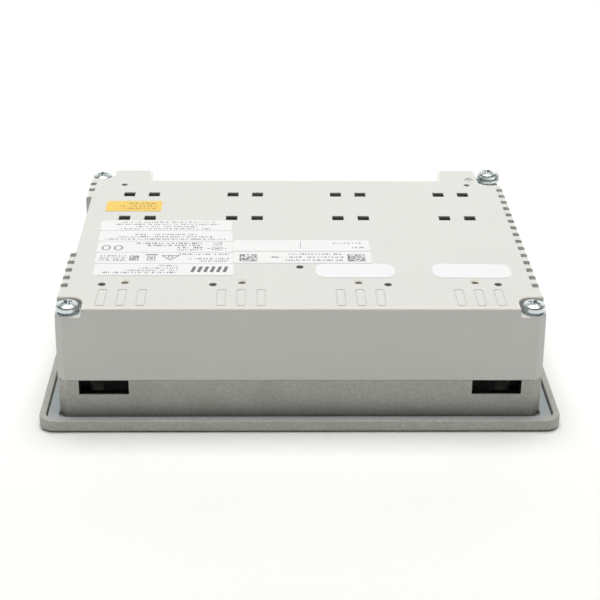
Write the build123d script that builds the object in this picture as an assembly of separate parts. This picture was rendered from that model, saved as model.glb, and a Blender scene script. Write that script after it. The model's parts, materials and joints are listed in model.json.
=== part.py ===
from build123d import *
import math
import os

# Panel-mount operator terminal lying on its front face.
# Millimetres; +Z is the rear of the device, X its long side, Y its short side.
# The origin is the middle of the front face, on the surface it lies on.

# ---- driving dimensions ----
FACE_X, FACE_Y = 187.0, 147.0          # front plate, outside
FACE_RADIUS = 5.7
FLANGE_T = 4.5                         # front plate thickness at its rim
LIP_W = 2.3                            # raised rim behind the gasket channel
CHANNEL_FLOOR = 1.6
GASKET_T = 1.0
PLATE_T = 4.0                          # front plate behind the display
BODY_X, BODY_Y = 173.4, 133.6          # body behind the front plate, outside
BODY_BEVEL = 3.4
FRAME_WALL = 3.0
SPLIT_Z = 17.3                         # where the rear cover meets the frame

COVER_X, COVER_Y = 173.4, 133.4        # rear cover at the split
COVER_BEVEL = 2.9
COVER_DRAFT = 1.05                     # degrees
COVER_WALL = 2.4
REAR_Z = 45.7                          # rear face of the cover
REAR_T = 2.2
EDGE_ROUND = 1.0

SCREW_X, SCREW_Y = 82.0, 61.5          # the four cover screws
POCKET_X, POCKET_Y = 76.8, 56.7        # inner sides of the screw pockets
POCKET_R = 4.6
POCKET_FLOOR = 42.0
EARTH_POCKET_Y = 49.6                  # the earth screw has a longer pocket

BAY_Y = 54.5                           # outside of the connector wall
BAY_HALF_IN, BAY_HALF_OUT = 59.9, 61.7
BAY_FLOOR = 19.8
BAY_WALL = 2.2

SLOT_IN, SLOT_OUT = 61.3, 79.0         # clamp slots, distance from the middle
SLOT_Z = 11.6
SLOT_DEPTH = 6.4

VENT_PITCH, VENT_W = 6.51, 3.0
VENT_FIRST_Y = 43.3
VENT_IN = 83.4
VENT_LOW = 33.7
SIDE_RECESS = (-18.9, 35.4)            # Y range of the step in the left side
SIDE_RECESS_X = 83.8

GROUPS = (-63.4, -21.15, 21.15, 63.4)  # four repeats of the rear-face pattern

DISPLAY_X, DISPLAY_Y = 144.0, 104.8    # 5.7 inch display module
VIEW_X, VIEW_Y = 118.4, 89.6           # opening in the front plate
GLASS_X, GLASS_Y, GLASS_T = 134.0, 104.0, 1.9
OVERLAY_T, OVERLAY_GAP = 0.3, 0.1

CHASSIS_Z, CHASSIS_T = 13.4, 1.2
BOARD_Z, BOARD_T = 21.6, 1.6
BOARD_X, BOARD_Y = 75.0, 51.6          # half sizes of the main board
BOARD_TOP = BOARD_Z + BOARD_T
MOUTH_Y = 51.9                         # mouths of the sockets behind the wall

CHASSIS_POINTS = [(x, y) for x in (-77.5, 77.5) for y in (-38, 38)] + [(0, -57.8), (0, 57.8)]
STANDOFF_POINTS = [(x, y) for x in (-69, 69) for y in (-45, -9, 33)]
CORNERS = {1: (-1, -1), 2: (1, -1), 3: (-1, 1), 4: (1, 1)}   # screw number: side signs
EARTH_SCREW = 4

WASHER_T, WASHER_R = 0.85, 4.1
HEAD_R, HEAD_T = 4.1, 3.1
SHANK_R = 1.95
SCREW_LENGTH = 35.0
SCREW_BORE = 2.15                      # inside of the washers
CLAMP_WASHER_T, CLAMP_WASHER_R = 0.8, 4.6
SPACER_T, SPACER_R = 0.55, 3.8


# ---- helpers ----
def block(x0, x1, y0, y1, z0, z1):
    """A box between two corners."""
    middle = Pos((x0 + x1) / 2, (y0 + y1) / 2, (z0 + z1) / 2)
    return middle * Box(x1 - x0, y1 - y0, z1 - z0)


def slab(width, depth, radius, z0, z1, x=0.0, y=0.0):
    """A plate with rounded corners."""
    return extrude(Pos(x, y, z0) * RectangleRounded(width, depth, radius), z1 - z0)


def rod(x, y, radius, z0, z1):
    """An upright round bar."""
    return Pos(x, y, (z0 + z1) / 2) * Cylinder(radius, z1 - z0)


def bar_y(x, z, radius, y0, y1):
    """A round bar along Y."""
    return Pos(x, (y0 + y1) / 2, z) * Rot(90, 0, 0) * Cylinder(radius, y1 - y0)


def bevelled(width, depth, bevel, z0, z1, draft=0.0):
    """A plate with bevelled upright corners and drafted sides."""
    outline = chamfer(Rectangle(width, depth).vertices(), bevel)
    return extrude(Pos(0, 0, z0) * outline, z1 - z0, taper=draft)


def ring_slab(outer, inner, z0, z1):
    """A rounded rectangular frame; outer and inner are (width, depth, radius)."""
    return slab(*outer, z0, z1) - slab(*inner, z0 - 1, z1 + 1)


def save(name, shape):
    """Writes one sub-part, with its name, to its own file."""
    shape.label = name
    export_step(shape, f"parts/{name}.step")


# ---- front frame and what seals and covers it ----
def front_frame():
    flange = slab(FACE_X, FACE_Y, FACE_RADIUS, 0, FLANGE_T)
    flange = fillet(flange.edges().group_by(Axis.Z)[-1], 0.6)
    flange = fillet(flange.edges().group_by(Axis.Z)[0], 1.0)
    body = bevelled(BODY_X, BODY_Y, BODY_BEVEL, CHANNEL_FLOOR, SPLIT_Z)
    channel = slab(FACE_X - 2 * LIP_W, FACE_Y - 2 * LIP_W, FACE_RADIUS - 2.0,
                   CHANNEL_FLOOR, FLANGE_T + 1)
    frame = flange - (channel - body) + body

    inner_x, inner_y = BODY_X / 2 - FRAME_WALL, BODY_Y / 2 - FRAME_WALL
    cavity = slab(2 * inner_x, 2 * inner_y, 2.0, PLATE_T, SPLIT_Z + 1)
    for sx, sy in CORNERS.values():
        # the solid corner column that the cover screw goes into
        cavity -= mirrored(block(75.5, 90, 55.5, 70, 0, SPLIT_Z + 2), sx, sy)
    frame -= cavity

    bosses = [rod(x, y, 3.4, PLATE_T - 0.5, CHASSIS_Z) for x, y in CHASSIS_POINTS]
    frame += bosses

    cuts = [slab(FACE_X - 6, FACE_Y - 6, 4.0, -1, OVERLAY_GAP + OVERLAY_T)]
    glass_top = OVERLAY_GAP + OVERLAY_T + GLASS_T
    cuts.append(slab(GLASS_X + 0.4, GLASS_Y + 0.4, 1.0, 0, glass_top))
    cuts.append(slab(VIEW_X, VIEW_Y, 1.0, 0, PLATE_T + 1))
    cuts.append(block(18.5, 33.5, -55.6, -44, 0.4, PLATE_T + 1))      # way out for the touch tail
    cuts += [rod(x, y, 1.25, PLATE_T + 2, CHASSIS_Z + 1) for x, y in CHASSIS_POINTS]
    for sx, sy in CORNERS.values():
        cuts.append(rod(sx * SCREW_X, sy * SCREW_Y, SHANK_R + 0.05, 5.0, SPLIT_Z + 1))
        slot = block(SLOT_IN, SLOT_OUT, BODY_Y / 2 - SLOT_DEPTH, 70, SLOT_Z, SPLIT_Z + 1)
        cuts.append(mirrored(slot, sx, sy))
    return frame - cuts


def mirrored(shape, sx, sy):
    """The shape mirrored to the quadrant with these signs."""
    if sx < 0:
        shape = mirror(shape, Plane.YZ)
    if sy < 0:
        shape = mirror(shape, Plane.XZ)
    return shape


def panel_gasket():
    outer = (FACE_X - 2 * LIP_W - 0.6, FACE_Y - 2 * LIP_W - 0.6, FACE_RADIUS - 2.3)
    inner = (BODY_X + 0.6, BODY_Y + 0.6, 2.0)
    return ring_slab(outer, inner, CHANNEL_FLOOR, CHANNEL_FLOOR + GASKET_T)


def front_overlay():
    return slab(FACE_X - 6.2, FACE_Y - 6.2, 3.9, OVERLAY_GAP, OVERLAY_GAP + OVERLAY_T)


def touch_glass():
    z0 = OVERLAY_GAP + OVERLAY_T
    return slab(GLASS_X, GLASS_Y, 0.8, z0, z0 + GLASS_T)


# ---- display module ----
DISPLAY_Z = PLATE_T + 0.5


def display_gasket():
    return ring_slab((126, 97, 2.0), (VIEW_X + 1.2, VIEW_Y + 1.2, 1.0), PLATE_T, DISPLAY_Z)


def display_bezel():
    sheet = 0.6
    shell = slab(DISPLAY_X, DISPLAY_Y, 1.0, DISPLAY_Z, DISPLAY_Z + 7.5)
    inside = slab(DISPLAY_X - 2 * sheet, DISPLAY_Y - 2 * sheet, 0.6, DISPLAY_Z + sheet, 20)
    view = slab(VIEW_X - 1.2, VIEW_Y - 1.2, 0.5, 0, 20)
    return shell - inside - view


CELL_X, CELL_Y, CELL_T = 126.0, 96.0, 2.2
CELL_Z = DISPLAY_Z + 0.6
BACKLIGHT_TOP = 12.6


def display_cell():
    return slab(CELL_X, CELL_Y, 0.5, CELL_Z, CELL_Z + CELL_T)


def backlight_unit():
    body = slab(DISPLAY_X - 1.6, DISPLAY_Y - 1.6, 0.6, CELL_Z, BACKLIGHT_TOP)
    pocket = slab(CELL_X + 0.3, CELL_Y + 0.3, 0.5, CELL_Z - 1, CELL_Z + CELL_T)
    # shallow ribs on the back of the light box
    panels = [block(x - 20, x + 20, y - 17, y + 17, BACKLIGHT_TOP - 0.6, BACKLIGHT_TOP + 1)
              for x in (-45, 0, 45) for y in (-22, 22)]
    return body - pocket - panels


def display_pads():
    return [slab(7, 20, 1.0, BACKLIGHT_TOP, CHASSIS_Z, x, y) for x in (-68, 68) for y in (-30, 30)]


# ---- chassis plate, standoffs and their screws ----
def chassis_plate():
    top = CHASSIS_Z + CHASSIS_T
    plate = slab(150, 104, 3.0, CHASSIS_Z, top)
    for x, y in CHASSIS_POINTS:
        if x:
            tab = slab(14, 11, 2.5, CHASSIS_Z, top, x * 0.965, y)
        else:
            tab = slab(11, 16, 2.5, CHASSIS_Z, top, 0, y * 0.945)
        plate += tab
    cuts = [rod(x, y, 1.6, 0, 20) for x, y in CHASSIS_POINTS]
    cuts += [slab(26, 5, 2.4, 0, 20, x, y) for x in (-36, 0, 36) for y in (-22, -8, 8, 22)]
    return plate - cuts


def pan_screw(x, y, seat, head_r, head_t, shank_r, length, recess=True):
    """A pan-head screw with a cross recess, its head standing on z = seat."""
    head = rod(x, y, head_r, seat, seat + head_t)
    rim = head.edges().group_by(Axis.Z)[-1]
    head = fillet(rim, min(head_t * 0.62, head_r * 0.45))
    screw = head + rod(x, y, shank_r, seat - length, seat)
    tip = screw.edges().group_by(Axis.Z)[0]
    screw = chamfer(tip, shank_r * 0.3)
    if not recess:
        return screw
    reach, width, deep = head_r * 0.56, head_r * 0.26, head_t * 0.55
    top = seat + head_t
    cross = block(x - reach, x + reach, y - width / 2, y + width / 2, top - deep, top + 1)
    cross += block(x - width / 2, x + width / 2, y - reach, y + reach, top - deep, top + 1)
    return screw - cross


def hexagon_bar(x, y, across, z0, z1, bore):
    """A hexagonal standoff with a threaded bore down its middle."""
    outline = RegularPolygon(across / math.sqrt(3), 6)
    return extrude(Pos(x, y, z0) * outline, z1 - z0) - rod(x, y, bore, z0 + 1.5, z1 + 1)


def standoffs():
    base = CHASSIS_Z + CHASSIS_T
    return [hexagon_bar(x, y, 5.5, base, BOARD_Z, 1.25) for x, y in STANDOFF_POINTS]


def chassis_screws():
    seat = CHASSIS_Z + CHASSIS_T
    return [pan_screw(x, y, seat, 2.8, 2.2, 1.2, 7.5) for x, y in CHASSIS_POINTS]


def board_screws():
    return [pan_screw(x, y, BOARD_TOP, 2.8, 2.0, 1.2, 6.0) for x, y in STANDOFF_POINTS]


# ---- main board and what is soldered on it ----
def main_board():
    board = slab(2 * BOARD_X, 2 * BOARD_Y, 2.0, BOARD_Z, BOARD_TOP)
    return board - [rod(x, y, 1.6, 0, 40) for x, y in STANDOFF_POINTS]


def on_board(width, depth, height, x, y, radius=0.4):
    """A square-edged component standing on the board."""
    return slab(width, depth, radius, BOARD_TOP, BOARD_TOP + height, x, y)


def processor():
    return on_board(19, 19, 1.7, -6, 4)


def heat_sink():
    base = BOARD_TOP + 1.7
    sink = slab(34, 34, 1.0, base, base + 2.5, -6, 4)
    fins = [block(-6 + x - 0.7, -6 + x + 0.7, -12.5, 20.5, base + 2.3, base + 12) for x in range(-15, 16, 5)]
    return sink + fins


def memory_chips():
    return [on_board(11, 9, 1.1, x, y, 0.2) for x, y in ((-34, 10), (-34, -3), (22, 10), (22, -3))]


def logic_chips():
    places = ((-50, -30, 14), (-26, -34, 10), (44, 12, 12), (8, -38, 8), (50, -6, 9), (-7.5, 27, 8), (20, 24, 7))
    return [on_board(s, s, 1.4, x, y, 0.2) for x, y, s in places]


def capacitors():
    places = ((-60, 31, 5.0), (-48, 32, 4.0), (-38, 32, 4.0), (-46, 4, 4.0), (68, -28, 3.2), (68, -20, 3.2))
    cans = []
    for x, y, radius in places:
        can = rod(x, y, radius, BOARD_TOP, BOARD_TOP + 2.3 * radius)
        cans.append(fillet(can.edges().group_by(Axis.Z)[-1], 0.5))
    return cans


def choke():
    return fillet(on_board(12.5, 12.5, 6.5, -46.5, 18.5, 2.0).edges().group_by(Axis.Z)[-1], 0.8)


def buzzer():
    x, y = 56, -37
    can = rod(x, y, 6.0, BOARD_TOP, BOARD_TOP + 7.0)
    return can - rod(x, y, 1.0, BOARD_TOP + 5.0, BOARD_TOP + 8)


CELL_PLACE, CELL_RADIUS = (34, -26), 10.0


def cell_holder():
    x, y = CELL_PLACE
    top = BOARD_TOP + 4.4
    cup = rod(x, y, CELL_RADIUS + 2.0, BOARD_TOP, top)
    cup -= rod(x, y, CELL_RADIUS + 0.3, BOARD_TOP + 0.8, top + 1)
    return cup - block(x - 4, x + 4, y - 14, y - 2, BOARD_TOP + 1.5, top + 1)


def backup_cell():
    cell = rod(*CELL_PLACE, CELL_RADIUS, BOARD_TOP + 0.8, BOARD_TOP + 4.0)
    return fillet(cell.edges().group_by(Axis.Z)[-1], 0.5)


# flat cables: (x0, x1), height of the lower run, y where the lower run starts
TOUCH_CABLE = ((20.0, 32.0), OVERLAY_GAP + OVERLAY_T + GLASS_T, -46.0)
DISPLAY_CABLE = ((-36.0, -14.0), BACKLIGHT_TOP, -38.0)
CABLE_T, CABLE_LEG_Y, CABLE_TOP_Z = 0.3, -54.6, BOARD_TOP + 1.2


def flat_cable(cable):
    """Runs out to the near side, up past the chassis and back to its board connector."""
    (x0, x1), low, start = cable
    lower = block(x0, x1, CABLE_LEG_Y, start, low, low + CABLE_T)
    leg = block(x0, x1, CABLE_LEG_Y, CABLE_LEG_Y + CABLE_T, low, CABLE_TOP_Z + CABLE_T)
    upper = block(x0, x1, CABLE_LEG_Y, -49.0, CABLE_TOP_Z, CABLE_TOP_Z + CABLE_T)
    return lower + leg + upper


def cable_connectors():
    parts = []
    for (x0, x1), _, _ in (TOUCH_CABLE, DISPLAY_CABLE):
        body = block(x0 - 2, x1 + 2, -50.0, -44.5, BOARD_TOP, BOARD_TOP + 2.6)
        parts.append(body - block(x0 - 0.1, x1 + 0.1, -51, -49.0, CABLE_TOP_Z, CABLE_TOP_Z + CABLE_T))
    return parts


# ---- sockets along the connector wall ----
POWER_X, SERIAL_X, LAN_X, USB_X = -49.0, -22.0, (5.5, 24.5), 44.0
POWER_PITCH = 5.08
SOCKET_BASE = BOARD_TOP


def power_header():
    body = block(POWER_X - 8.6, POWER_X + 8.6, 39.9, MOUTH_Y, SOCKET_BASE, SOCKET_BASE + 9.4)
    well = block(POWER_X - 7.7, POWER_X + 7.7, 43.5, 60, SOCKET_BASE + 1.2, SOCKET_BASE + 8.4)
    keys = [block(POWER_X + k * POWER_PITCH - 1.0, POWER_X + k * POWER_PITCH + 1.0, 43.5, 60,
                  SOCKET_BASE + 8, SOCKET_BASE + 10) for k in (-1, 0, 1)]
    pins = [block(*pin_section(POWER_X + k * POWER_PITCH), SOCKET_BASE + 4.0, SOCKET_BASE + 5.0)
            for k in (-1, 0, 1)]
    return body - well - keys - pins


def pin_section(x):
    return x - 0.5, x + 0.5, 41.5, 50.4


def power_pins():
    pins = []
    for k in (-1, 0, 1):
        x = POWER_X + k * POWER_PITCH
        pins.append(block(*pin_section(x), SOCKET_BASE + 4.0, SOCKET_BASE + 5.0))
    return pins


def d_outline(width, height, narrowing, radius):
    """The D-shaped outline of a serial connector, in XZ, wider at the top."""
    points = [(-width / 2, height / 2), (width / 2, height / 2),
              (width / 2 - narrowing, -height / 2), (-width / 2 + narrowing, -height / 2)]
    shape = make_face(Polyline(*points, close=True))
    return fillet(shape.vertices(), radius)


def along_y(outline, x, z, y0, y1):
    """Extrudes an XZ outline from y0 to y1."""
    plane = Plane(origin=(x, y1, z), x_dir=(1, 0, 0), z_dir=(0, -1, 0))
    return extrude(plane * outline, y1 - y0)


SERIAL_Z = SOCKET_BASE + 7.0
SERIAL_FLANGE_Y = 45.8


def serial_port():
    flange = block(SERIAL_X - 15.4, SERIAL_X + 15.4, SERIAL_FLANGE_Y - 0.8, SERIAL_FLANGE_Y,
                   SERIAL_Z - 6.2, SERIAL_Z + 6.2)
    shell = along_y(d_outline(17.0, 8.4, 1.2, 1.6), SERIAL_X, SERIAL_Z, SERIAL_FLANGE_Y - 0.4, MOUTH_Y)
    rear = block(SERIAL_X - 9.6, SERIAL_X + 9.6, 36.0, SERIAL_FLANGE_Y - 0.5, SOCKET_BASE, SERIAL_Z + 5.2)
    body = flange + shell + rear
    body -= along_y(d_outline(16.0, 7.4, 1.1, 1.2), SERIAL_X, SERIAL_Z, 47.0, 60)
    holes = [bar_y(SERIAL_X + side * 12.5, SERIAL_Z, 1.5, 40, 60) for side in (-1, 1)]
    return body - holes


def serial_insert():
    body = along_y(d_outline(15.9, 7.3, 1.1, 1.2), SERIAL_X, SERIAL_Z, 47.0, MOUTH_Y - 0.6)
    upper = [bar_y(SERIAL_X + k * 2.77, SERIAL_Z + 1.42, 0.55, 49, 60) for k in (-2, -1, 0, 1, 2)]
    lower = [bar_y(SERIAL_X + k * 2.77, SERIAL_Z - 1.42, 0.55, 49, 60) for k in (-1.5, -0.5, 0.5, 1.5)]
    return body - upper - lower


def serial_posts():
    posts = []
    for side in (-1, 1):
        x = SERIAL_X + side * 12.5
        outline = RegularPolygon(4.8 / math.sqrt(3), 6)
        post = along_y(outline, x, SERIAL_Z, SERIAL_FLANGE_Y, MOUTH_Y)
        post += bar_y(x, SERIAL_Z, 1.45, 42.0, SERIAL_FLANGE_Y + 0.2)
        posts.append(post - bar_y(x, SERIAL_Z, 1.2, 47.5, 60))
    return posts


LAN_W, LAN_H = 16.0, 13.4


def lan_cavity(x):
    """The plug space of one network socket: a wide part, and the latch step above it."""
    base = SOCKET_BASE + 1.2
    wide = block(x - 5.9, x + 5.9, 39.5, 60, base, base + 7.0)
    latch = block(x - 3.1, x + 3.1, 39.5, 60, base + 6.9, base + 9.3)
    return wide + latch


def lan_socket(x):
    body = block(x - LAN_W / 2, x + LAN_W / 2, 31.0, MOUTH_Y, SOCKET_BASE, SOCKET_BASE + LAN_H)
    body = fillet(body.edges().filter_by(Axis.Y), 0.4)
    return body - lan_cavity(x) - lan_lamp_spaces(x)


def lan_lamp_spaces(x):
    top = SOCKET_BASE + 12.6
    return [block(x + side * 6.0 - 1.2, x + side * 6.0 + 1.2, 48.0, 60, top - 2.2, top) for side in (-1, 1)]


def lan_lamps():
    lamps = []
    for x in LAN_X:
        for space in lan_lamp_spaces(x):
            lamps.append(space & block(-90, 90, 48.0, MOUTH_Y - 0.2, 0, 60))
    return lamps


def lan_contacts():
    """Eight spring contacts on the floor of each network socket."""
    contacts = []
    for x in LAN_X:
        for k in range(8):
            mid = x + (k - 3.5) * 1.02
            contacts.append(block(mid - 0.22, mid + 0.22, 39.5, 49.5, SOCKET_BASE + 1.2, SOCKET_BASE + 1.8))
    return contacts


USB_W, USB_H, USB_RISE = 13.6, 15.6, 7.9


def usb_ports():
    body = block(USB_X - USB_W / 2, USB_X + USB_W / 2, 34.5, MOUTH_Y, SOCKET_BASE, SOCKET_BASE + USB_H)
    cavities = [block(USB_X - 6.25, USB_X + 6.25, 38.0, 60, low, low + 5.2) for low in usb_floors()]
    return body - cavities


def usb_floors():
    return [SOCKET_BASE + 1.1, SOCKET_BASE + 1.1 + USB_RISE]


def usb_tongues():
    return [block(USB_X - 5.4, USB_X + 5.4, 38.0, 49.6, low + 2.9, low + 4.7) for low in usb_floors()]


CARD_Y = (-4.0, 22.0)


def card_slot():
    shell = block(-81.0, -54.0, *CARD_Y, BOARD_TOP, BOARD_TOP + 3.2)
    space = block(-90.0, -56.0, CARD_Y[0] + 0.8, CARD_Y[1] - 0.8, BOARD_TOP + 0.5, BOARD_TOP + 2.8)
    return shell - space


# ---- rear cover ----
def cover_cavity():
    inner_x, inner_y = COVER_X / 2 - COVER_WALL, COVER_Y / 2 - COVER_WALL
    top = REAR_Z - REAR_T
    cavity = extrude(Pos(0, 0, SPLIT_Z - 1) * Rectangle(2 * inner_x, 2 * inner_y),
                     top - SPLIT_Z + 1, taper=COVER_DRAFT)
    keeps = [block(-BAY_HALF_OUT - BAY_WALL, BAY_HALF_OUT + BAY_WALL, BAY_Y - BAY_WALL, 90, 0, 90)]
    for number, (sx, sy) in CORNERS.items():
        keeps.append(mirrored(block(75.0, 90, 54.8, 90, 0, 90), sx, sy))
    # the longer pocket of the earth screw and the stepped side keep a wall behind them
    keeps.append(block(POCKET_X - 1.8, 90, EARTH_POCKET_Y - 1.8, 90, POCKET_FLOOR - REAR_T, 90))
    low, high = SIDE_RECESS
    keeps.append(block(-90, -SIDE_RECESS_X + BAY_WALL, low - 4.0, high + 2.0, 0, 90))
    for keep in keeps:
        cavity -= keep
    return cavity


def pocket(number):
    """The sunk corner that one cover screw stands in."""
    sx, sy = CORNERS[number]
    near = EARTH_POCKET_Y if number == EARTH_SCREW else POCKET_Y
    return mirrored(slab(40, 40, POCKET_R, POCKET_FLOOR, 60, POCKET_X + 20, near + 20), sx, sy)


def connector_bay():
    """The space over the sockets, open to the rear and to the far side."""
    points = [(-BAY_HALF_IN, BAY_Y), (BAY_HALF_IN, BAY_Y),
              (BAY_HALF_OUT, 70), (-BAY_HALF_OUT, 70)]
    return extrude(Pos(0, 0, BAY_FLOOR) * make_face(Polyline(*points, close=True)), 40)


def socket_openings():
    """Openings through the connector wall, one in front of each socket."""
    spans = [(POWER_X - 8.0, POWER_X + 8.0, SOCKET_BASE + 0.8, SOCKET_BASE + 9.0),
             (SERIAL_X - 15.6, SERIAL_X + 15.6, SERIAL_Z - 5.6, SERIAL_Z + 5.6),
             (USB_X - 6.6, USB_X + 6.6, SOCKET_BASE + 0.8, SOCKET_BASE + 14.8)]
    spans += [(x - 7.4, x + 7.4, SOCKET_BASE + 0.8, SOCKET_BASE + 12.8) for x in LAN_X]
    return [block(x0, x1, BAY_Y - BAY_WALL - 1, BAY_Y + 1, z0, z1) for x0, x1, z0, z1 in spans]


def side_recess():
    """A shallow step in the left side, square at its far end and slanted at its near end."""
    low, high = SIDE_RECESS
    points = [(-95, high), (-SIDE_RECESS_X, high), (-SIDE_RECESS_X, low), (-86.6, low - 1.8), (-95, low - 7.2)]
    step = extrude(Pos(0, 0, BAY_FLOOR) * make_face(Polyline(*points, close=True)), 40)
    card = block(-90, -70, CARD_Y[0], CARD_Y[1], BOARD_TOP + 0.2, BOARD_TOP + 3.4)
    return [step, card]


def edge_vents():
    """Slots that notch the rear edge and run down the sides."""
    def vent(side, step):
        y = VENT_FIRST_Y - step * VENT_PITCH
        x0, x1 = sorted((side * VENT_IN, side * 90))
        return block(x0, x1, y - VENT_W / 2, y + VENT_W / 2, VENT_LOW, 50)

    right = [vent(1, step) for step in range(0, 15)]
    left = [vent(-1, step) for step in (-1, 0, 10, 11, 12, 13, 14)]
    return right + left


def rear_vents():
    """Vents in pairs, in two rows over each of the four groups; the wall is thinned from inside round each."""
    half_x, half_y, spread, skin, margin = 2.25, 2.1, 5.05, 0.8, 0.9
    vents = []
    for group in (-63.5, -21.1, 21.1, 63.5):
        for side in (-1, 1):
            for y in (38.4, 13.8):
                x = group + side * spread
                vents.append(block(x - half_x, x + half_x, y - half_y, y + half_y, 30, 60))
                far_x, far_y = half_x + margin, half_y + margin
                vents.append(block(x - far_x, x + far_x, y - far_y, y + far_y, 30, REAR_Z - skin))
    return vents


def rear_holes():
    """Round holes; those of the four groups are countersunk."""
    plain = [(-71.3, -47.0), (71.3, -47.0), (-31.5, -47.1), (31.5, -47.1), (0.0, -32.2)]
    holes = [rod(x, y, 1.38, 30, 60) for x, y in plain]
    holes += [rod(side * 71.6, 49.0, 1.2, 30, 60) for side in (-1, 1)]
    for x in (-63.3, -21.1, 21.1, 63.3):
        holes.append(rod(x, -44.4, 1.38, 30, 60))
        holes.append(Pos(x, -44.4, REAR_Z - 0.4) * Cone(1.38, 2.2, 0.8))
    return holes


def engraved_loops():
    """Thin engraved outlines of the knock-out shapes along the near edge of the rear face."""
    line, deep = 0.32, 0.15
    width, y0, y1 = 3.34, -64.3, -51.1
    loops = []
    for group in GROUPS:
        for k in (-1, 0, 1):
            x, y = group + k * 7.05, (y0 + y1) / 2
            outer = RectangleRounded(width, y1 - y0, 1.1)
            inner = RectangleRounded(width - 2 * line, y1 - y0 - 2 * line, 0.8)
            loops.append(extrude(Pos(x, y, REAR_Z - deep) * (outer - inner), 1))
    return loops


def earth_mark():
    """The raised earth symbol beside the earth screw: a stem over three shorter and shorter bars."""
    x, y, z0, z1 = 73.2, 55.2, REAR_Z - 0.2, REAR_Z + 0.25
    mark = block(x - 0.2, x + 0.2, y - 2.2, y, z0, z1)
    for k, half in enumerate((2.0, 1.3, 0.6)):
        mark += block(x - half, x + half, y - 0.2 + k * 0.9, y + 0.2 + k * 0.9, z0, z1)
    return mark


def inner_ribs():
    """Stiffening ribs under the rear face, clear of the tall parts on the board."""
    top = REAR_Z - REAR_T + 0.3
    return [block(x - 0.8, x + 0.8, -63, 48, top - 3.3, top) for x in (-53, -10.5, 31.8)]


def rear_cover():
    cover = bevelled(COVER_X, COVER_Y, COVER_BEVEL, SPLIT_Z, REAR_Z, COVER_DRAFT)
    cover -= [pocket(number) for number in CORNERS] + [connector_bay()]
    cover = fillet(cover.edges().group_by(Axis.Z)[-1], EDGE_ROUND)
    cover -= cover_cavity()
    cover += inner_ribs()
    cuts = [pocket(number) for number in CORNERS] + [connector_bay()]
    for sx, sy in CORNERS.values():
        cuts.append(rod(sx * SCREW_X, sy * SCREW_Y, 2.25, 0, 60))
    cuts += socket_openings() + side_recess() + edge_vents() + rear_vents() + rear_holes() + engraved_loops()
    return cover - cuts + earth_mark()


# ---- cover screws ----
def screw_seat(number):
    """Height of the underside of a cover screw's head."""
    seat = POCKET_FLOOR + WASHER_T
    if number == EARTH_SCREW:
        seat += SPACER_T + CLAMP_WASHER_T
    return seat


def screw_place(number):
    sx, sy = CORNERS[number]
    return sx * SCREW_X, sy * SCREW_Y


def cover_screw(number):
    x, y = screw_place(number)
    return pan_screw(x, y, screw_seat(number), HEAD_R - 0.05, HEAD_T, SHANK_R, SCREW_LENGTH)


def washer(x, y, radius, bore, z0, thickness):
    return rod(x, y, radius, z0, z0 + thickness) - rod(x, y, bore, z0 - 1, z0 + thickness + 1)


def cover_washer(number):
    """The flat washer between the pocket floor and the screw head."""
    x, y = screw_place(number)
    return washer(x, y, WASHER_R, SCREW_BORE, POCKET_FLOOR, WASHER_T)


def earth_spacer():
    x, y = screw_place(EARTH_SCREW)
    return washer(x, y, SPACER_R, SCREW_BORE, POCKET_FLOOR + WASHER_T, SPACER_T)


def earth_clamp_washer():
    """A wide washer with one side turned up, which keeps an earth lug from slipping out."""
    x, y = screw_place(EARTH_SCREW)
    z = POCKET_FLOOR + WASHER_T + SPACER_T
    lip_x, lip_t, lip_half, lip_h = 4.25, 0.4, 2.4, 2.9
    lip = block(x + lip_x, x + lip_x + lip_t, y - lip_half, y + lip_half, z, z + lip_h)
    return washer(x, y, CLAMP_WASHER_R, SCREW_BORE, z, CLAMP_WASHER_T) + lip


# ---- labels on the rear face ----
LABEL_T = 0.12


def label(x0, x1, y0, y1, radius, turn=0.0):
    outline = RectangleRounded(x1 - x0, y1 - y0, radius)
    return extrude(Pos((x0 + x1) / 2, (y0 + y1) / 2, REAR_Z) * Rot(0, 0, turn) * outline, LABEL_T)


def rating_labels():
    """A stack of five strips, each a little further right than the one beyond it."""
    width, height, pitch = 51.2, 9.9, 10.15
    strips = []
    for k in range(5):
        x0, y1 = -77.0 + 0.37 * k, 10.9 - pitch * k
        strips.append(label(x0, x0 + width, y1 - height, y1, 1.2))
    return strips


def serial_labels():
    return [label(-24.9, 26.8, -18.2, -8.1, 0.6), label(-24.5, 26.9, -28.9, -18.8, 0.6)]


def blank_labels():
    return [label(5.8, 34.8, -41.4, -29.6, 3.8), label(48.7, 77.5, -41.6, -29.7, 3.8, -0.8)]


def seal_label():
    return label(-76.9, -54.6, 20.4, 31.0, 1.0)


# ---- write every sub-part ----
PARTS = {
    "front_frame": front_frame, "panel_gasket": panel_gasket, "front_overlay": front_overlay,
    "touch_glass": touch_glass, "display_gasket": display_gasket, "display_bezel": display_bezel,
    "display_cell": display_cell, "backlight_unit": backlight_unit, "display_pads": display_pads,
    "chassis_plate": chassis_plate, "chassis_screws": chassis_screws, "standoffs": standoffs,
    "board_screws": board_screws, "main_board": main_board, "processor": processor,
    "heat_sink": heat_sink, "memory_chips": memory_chips, "logic_chips": logic_chips,
    "capacitors": capacitors, "choke": choke, "buzzer": buzzer, "cell_holder": cell_holder,
    "backup_cell": backup_cell, "cable_connectors": cable_connectors, "power_header": power_header,
    "power_pins": power_pins, "serial_port": serial_port, "serial_insert": serial_insert,
    "serial_posts": serial_posts, "lan_lamps": lan_lamps, "lan_contacts": lan_contacts,
    "usb_ports": usb_ports, "usb_tongues": usb_tongues, "card_slot": card_slot,
    "rear_cover": rear_cover, "earth_spacer": earth_spacer, "earth_clamp_washer": earth_clamp_washer,
    "rating_labels": rating_labels, "serial_labels": serial_labels, "blank_labels": blank_labels,
    "seal_label": seal_label,
}

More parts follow.
